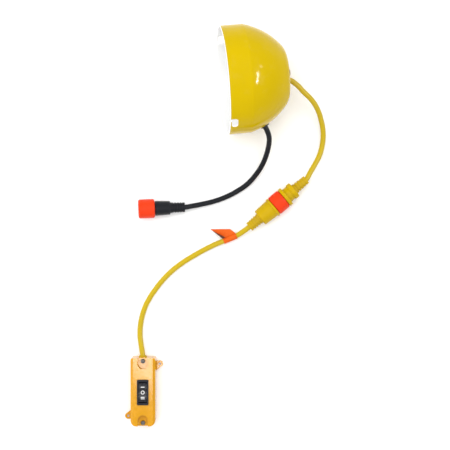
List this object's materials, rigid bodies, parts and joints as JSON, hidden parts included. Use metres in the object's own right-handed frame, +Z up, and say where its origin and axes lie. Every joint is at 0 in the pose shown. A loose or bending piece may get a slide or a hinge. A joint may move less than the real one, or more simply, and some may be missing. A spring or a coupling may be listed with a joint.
{
  "type": "dome-hood lamp with switch box",
  "caption": "Round metal lamp hood on its side, with a short supply lead and a second lead through a screw connector to a small rocker switch box.",
  "frame": {"origin": "on the table, at the centre of the box around the lamp head and the switch box, cords and connectors left out", "axes": "+Z up from the table; +Y from the switch box towards the lamp head; +X from the hood's mouth towards its crown"},
  "size_m": [0.2496, 0.4871, 0.1319],
  "materials": {
    "yellow_enamel": "gloss stoved enamel, white inside",
    "cast_aluminium": "bead-blasted casting",
    "black_rubber": "matt",
    "steel": "zinc plated",
    "dark_steel": "dulled zinc plate",
    "white_board": "white solder mask",
    "led_phosphor": "phosphor domes",
    "white_plastic": "smooth",
    "clear_glass": "clear",
    "green_board": "solder mask",
    "green_plastic": "moulded",
    "black_plastic": "moulded, fine spark texture",
    "brass": "turned",
    "yellow_cord": "smooth flexible sheath",
    "black_cord": "smooth flexible sheath",
    "yellow_rubber": "moulded",
    "yellow_plastic": "moulded, semi-gloss",
    "orange_plastic": "moulded, semi-gloss",
    "orange_tape": "vinyl tape, dark adhesive side",
    "box_plastic": "moulded, gloss",
    "rocker_plastic": "moulded, gloss",
    "white_ink": "pad printed"
  },
  "bodies": {
    "head": {"hood_shell": "yellow_enamel", "engine_housing": "cast_aluminium", "housing_pad": "black_rubber", "crown_screws": "steel", "heat_spreader": "cast_aluminium", "led_board": "white_board", "led_chips": "led_phosphor", "board_screws": "steel", "reflector": "white_plastic", "lens": "clear_glass", "lens_gasket": "black_rubber", "bezel_ring": "cast_aluminium", "bezel_screws": "steel", "driver_board": "green_board", "driver_parts": "black_plastic", "driver_standoffs": "brass", "terminal_block": "green_plastic", "lamp_cord_grommet": "black_rubber", "supply_cord_grommet": "black_rubber", "side_gland": "black_plastic", "lamp_cord": "yellow_cord", "supply_cord": "black_cord", "supply_plug_body": "black_plastic", "supply_strain_relief": "black_rubber", "supply_insert": "black_plastic", "supply_contacts": "brass", "supply_o_ring": "black_rubber", "socket_body": "yellow_plastic", "socket_insert": "black_plastic", "socket_pins": "brass", "socket_strain_relief": "yellow_rubber"},
    "switch_lead": {"link_o_ring": "black_rubber", "plug_body": "yellow_plastic", "plug_insert": "black_plastic", "plug_contacts": "brass", "plug_strain_relief": "yellow_rubber", "switch_cord": "yellow_cord", "flag_label": "orange_tape", "case_base": "box_plastic", "case_cover": "box_plastic", "case_gasket": "black_rubber", "case_screws": "dark_steel", "entry_grommet": "yellow_rubber", "cord_clamp": "white_plastic", "clamp_screws": "steel", "switch_frame": "black_plastic", "switch_terminals": "brass"},
    "link_coupling": {"link_nut": "orange_plastic"},
    "supply_coupling": {"supply_nut": "orange_plastic"},
    "rocker": {"rocker": "rocker_plastic", "rocker_marks": "white_ink"},
    "contact_lever": {"contact_lever": "brass"}
  },
  "joints": [
    {"name": "supply_nut_spin", "type": "hinge", "parent": "head", "child": "supply_coupling", "pos_m": [-0.07375, 0.0239, 0.01275], "axis": [0.9954, 0.04, -0.0872], "continuous": true},
    {"name": "link_nut_turn", "type": "hinge", "parent": "switch_lead", "child": "link_coupling", "pos_m": [0.0904, 0.0318, 0.0128], "axis": [0.7683, 0.6401, 0], "range_deg": [0, 720]},
    {"name": "plug_withdraw", "type": "slide", "parent": "head", "child": "switch_lead", "axis": [-0.7683, -0.6401, 0], "range_m": [0, 0.004]},
    {"name": "rocker_tilt", "type": "hinge", "parent": "switch_lead", "child": "rocker", "pos_m": [-0.0774, -0.20175, 0.0246], "axis": [1, 0, 0], "range_deg": [-12, 12]},
    {"name": "lever_tilt", "type": "hinge", "parent": "switch_lead", "child": "contact_lever", "pos_m": [-0.0774, -0.20175, 0.0152], "axis": [1, 0, 0], "range_deg": [-6.01, 6.01]}
  ],
  "couplings": [
    {"joint": "plug_withdraw", "follows": "link_nut_turn", "m_per_rad": 0.00031831},
    {"joint": "lever_tilt", "follows": "rocker_tilt", "ratio": -0.5}
  ]
}
